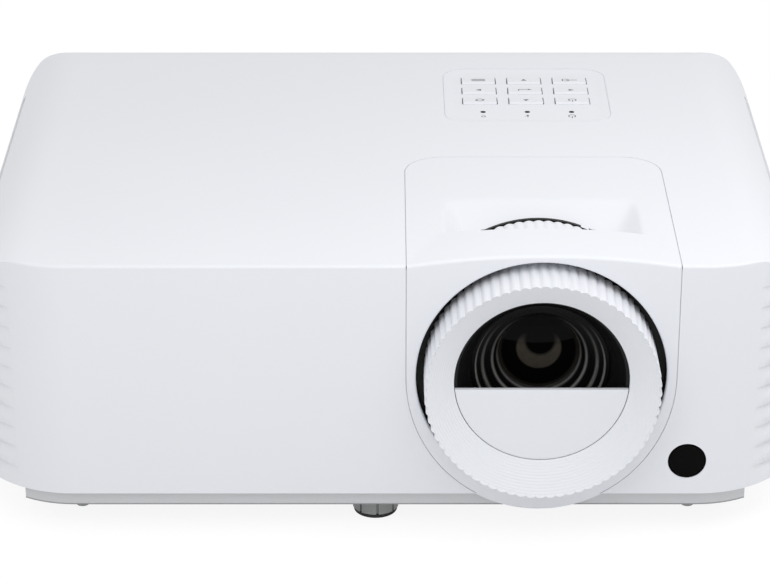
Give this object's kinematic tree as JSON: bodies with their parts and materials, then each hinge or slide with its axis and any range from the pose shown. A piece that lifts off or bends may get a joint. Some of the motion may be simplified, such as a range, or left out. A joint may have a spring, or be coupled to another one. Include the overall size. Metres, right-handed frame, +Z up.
{
  "type": "projector",
  "caption": "Desktop video projector: a rounded white casing with an offset lens, a brow over a zoom ring, a top keypad, side louvres and screw feet.",
  "frame": {"origin": "on the table plane, at the middle of the overall box from above", "axes": "+X to the viewer's right as the lens faces the viewer, +Y to the back, +Z up"},
  "size_m": [0.313, 0.2534, 0.1137],
  "materials": {
    "cover_white": "fine-textured satin white moulding",
    "base_grey": "light grey fine-textured moulding",
    "black_plastic": "matt black moulding",
    "fan_plastic": "satin black moulding",
    "dark_window": "dark translucent gloss, shown opaque",
    "board": "green solder resist with dark parts",
    "lens_glass": "coated optical glass",
    "aluminium": "die-cast and milled",
    "wheel": "phosphor and dichroic segments",
    "copper": "bare copper tube",
    "socket_metal": "pressed and plated shells",
    "foot_grey": "mid grey moulding",
    "rubber": "matt dark rubber",
    "brass": "plain machined brass",
    "screw_steel": "plated steel"
  },
  "bodies": {
    "projector": {"top_cover": "cover_white", "bottom_case": "base_grey", "lens_surround": "cover_white", "lens_baffle": "black_plastic", "left_side_guard": "black_plastic", "right_side_guard": "black_plastic", "rear_panel": "cover_white", "keypad_plate": "cover_white", "status_lights": "dark_window", "keypad_board": "board", "ir_window": "dark_window", "ir_receiver": "board", "lens_barrel": "black_plastic", "lens_mask": "cover_white", "rear_lens": "lens_glass", "lens_mount": "aluminium", "engine_housing": "aluminium", "engine_cover": "aluminium", "prism": "lens_glass", "light_rod": "lens_glass", "wheel_motor": "aluminium", "laser_module": "black_plastic", "laser_heatsink": "aluminium", "heat_pipes": "copper", "chip_board": "board", "chip_heatsink": "aluminium", "intake_fan_frame": "black_plastic", "exhaust_fan_frame": "black_plastic", "main_board": "board", "av_sockets": "socket_metal", "mains_inlet": "black_plastic", "power_board": "board", "speaker": "black_plastic", "foot_nuts": "brass", "mounting_inserts": "brass", "case_screws": "screw_steel"},
    "focus_ring": {"focus_ring": "cover_white"},
    "focus_cell": {"focus_cell": "black_plastic", "front_lens": "lens_glass"},
    "zoom_ring": {"zoom_ring": "cover_white"},
    "zoom_cell": {"zoom_cell": "black_plastic", "zoom_lens": "lens_glass"},
    "colour_wheel": {"colour_wheel": "wheel"},
    "intake_rotor": {"intake_fan_rotor": "fan_plastic"},
    "exhaust_rotor": {"exhaust_fan_rotor": "fan_plastic"},
    "front_pad": {"front_foot_pad": "rubber"},
    "front_knob": {"front_foot_knob": "foot_grey"},
    "left_pad": {"left_foot_pad": "rubber"},
    "left_knob": {"left_foot_knob": "foot_grey"},
    "right_pad": {"right_foot_pad": "rubber"},
    "right_knob": {"right_foot_knob": "foot_grey"},
    "key_menu": {"key_menu": "cover_white"},
    "key_up": {"key_up": "cover_white"},
    "key_info": {"key_info": "cover_white"},
    "key_left": {"key_left": "cover_white"},
    "key_enter": {"key_enter": "cover_white"},
    "key_right": {"key_right": "cover_white"},
    "key_sync": {"key_sync": "cover_white"},
    "key_down": {"key_down": "cover_white"},
    "key_power": {"key_power": "cover_white"}
  },
  "joints": [
    {"name": "focus_turn", "type": "hinge", "parent": "projector", "child": "focus_ring", "pos_m": [0.0574, -0.1267, 0.0647], "axis": [0, 1, 0], "range_deg": [-60, 60]},
    {"name": "focus_lens_travel", "type": "slide", "parent": "projector", "child": "focus_cell", "axis": [0, 1, 0], "range_m": [-0.0014, 0.0014]},
    {"name": "zoom_turn", "type": "hinge", "parent": "projector", "child": "zoom_ring", "pos_m": [0.0574, -0.0763, 0.0647], "axis": [0, 1, 0], "range_deg": [-20, 20]},
    {"name": "zoom_lens_travel", "type": "slide", "parent": "projector", "child": "zoom_cell", "axis": [0, 1, 0], "range_m": [-0.003, 0.003]},
    {"name": "key_menu_press", "type": "slide", "parent": "projector", "child": "key_menu", "axis": [0, 0, -1], "range_m": [0, 0.0008], "stiffness_N_per_m": 1200, "springref_m": -0.0002},
    {"name": "key_up_press", "type": "slide", "parent": "projector", "child": "key_up", "axis": [0, 0, -1], "range_m": [0, 0.0008], "stiffness_N_per_m": 1200, "springref_m": -0.0002},
    {"name": "key_info_press", "type": "slide", "parent": "projector", "child": "key_info", "axis": [0, 0, -1], "range_m": [0, 0.0008], "stiffness_N_per_m": 1200, "springref_m": -0.0002},
    {"name": "key_left_press", "type": "slide", "parent": "projector", "child": "key_left", "axis": [0, 0, -1], "range_m": [0, 0.0008], "stiffness_N_per_m": 1200, "springref_m": -0.0002},
    {"name": "key_enter_press", "type": "slide", "parent": "projector", "child": "key_enter", "axis": [0, 0, -1], "range_m": [0, 0.0008], "stiffness_N_per_m": 1200, "springref_m": -0.0002},
    {"name": "key_right_press", "type": "slide", "parent": "projector", "child": "key_right", "axis": [0, 0, -1], "range_m": [0, 0.0008], "stiffness_N_per_m": 1200, "springref_m": -0.0002},
    {"name": "key_sync_press", "type": "slide", "parent": "projector", "child": "key_sync", "axis": [0, 0, -1], "range_m": [0, 0.0008], "stiffness_N_per_m": 1200, "springref_m": -0.0002},
    {"name": "key_down_press", "type": "slide", "parent": "projector", "child": "key_down", "axis": [0, 0, -1], "range_m": [0, 0.0008], "stiffness_N_per_m": 1200, "springref_m": -0.0002},
    {"name": "key_power_press", "type": "slide", "parent": "projector", "child": "key_power", "axis": [0, 0, -1], "range_m": [0, 0.0008], "stiffness_N_per_m": 1200, "springref_m": -0.0002},
    {"name": "colour_wheel_spin", "type": "hinge", "parent": "projector", "child": "colour_wheel", "pos_m": [-0.0118, 0.0177, 0.0427], "axis": [1, 0, 0], "continuous": true},
    {"name": "intake_fan_spin", "type": "hinge", "parent": "projector", "child": "intake_rotor", "pos_m": [0.1416, 0.0107, 0.0552], "axis": [1, 0, 0], "continuous": true},
    {"name": "exhaust_fan_spin", "type": "hinge", "parent": "projector", "child": "exhaust_rotor", "pos_m": [-0.1416, 0.0107, 0.0552], "axis": [1, 0, 0], "continuous": true},
    {"name": "front_foot_extend", "type": "slide", "parent": "projector", "child": "front_pad", "axis": [0, 0, -1], "range_m": [0, 0.00801]},
    {"name": "front_foot_turn", "type": "hinge", "parent": "front_pad", "child": "front_knob", "pos_m": [-0.0036, -0.0953, 0.0018], "axis": [0, 0, -1], "range_deg": [0, 2880]},
    {"name": "left_foot_extend", "type": "slide", "parent": "projector", "child": "left_pad", "axis": [0, 0, -1], "range_m": [0, 0.00801]},
    {"name": "left_foot_turn", "type": "hinge", "parent": "left_pad", "child": "left_knob", "pos_m": [-0.112, 0.088, 0.0018], "axis": [0, 0, -1], "range_deg": [0, 2880]},
    {"name": "right_foot_extend", "type": "slide", "parent": "projector", "child": "right_pad", "axis": [0, 0, -1], "range_m": [0, 0.00801]},
    {"name": "right_foot_turn", "type": "hinge", "parent": "right_pad", "child": "right_knob", "pos_m": [0.112, 0.088, 0.0018], "axis": [0, 0, -1], "range_deg": [0, 2880]}
  ],
  "couplings": [
    {"joint": "focus_lens_travel", "follows": "focus_turn", "m_per_rad": 0.001336},
    {"joint": "zoom_lens_travel", "follows": "zoom_turn", "m_per_rad": 0.00859},
    {"joint": "front_foot_extend", "follows": "front_foot_turn", "m_per_rad": 0.00015915},
    {"joint": "left_foot_extend", "follows": "left_foot_turn", "m_per_rad": 0.00015915},
    {"joint": "right_foot_extend", "follows": "right_foot_turn", "m_per_rad": 0.00015915}
  ]
}
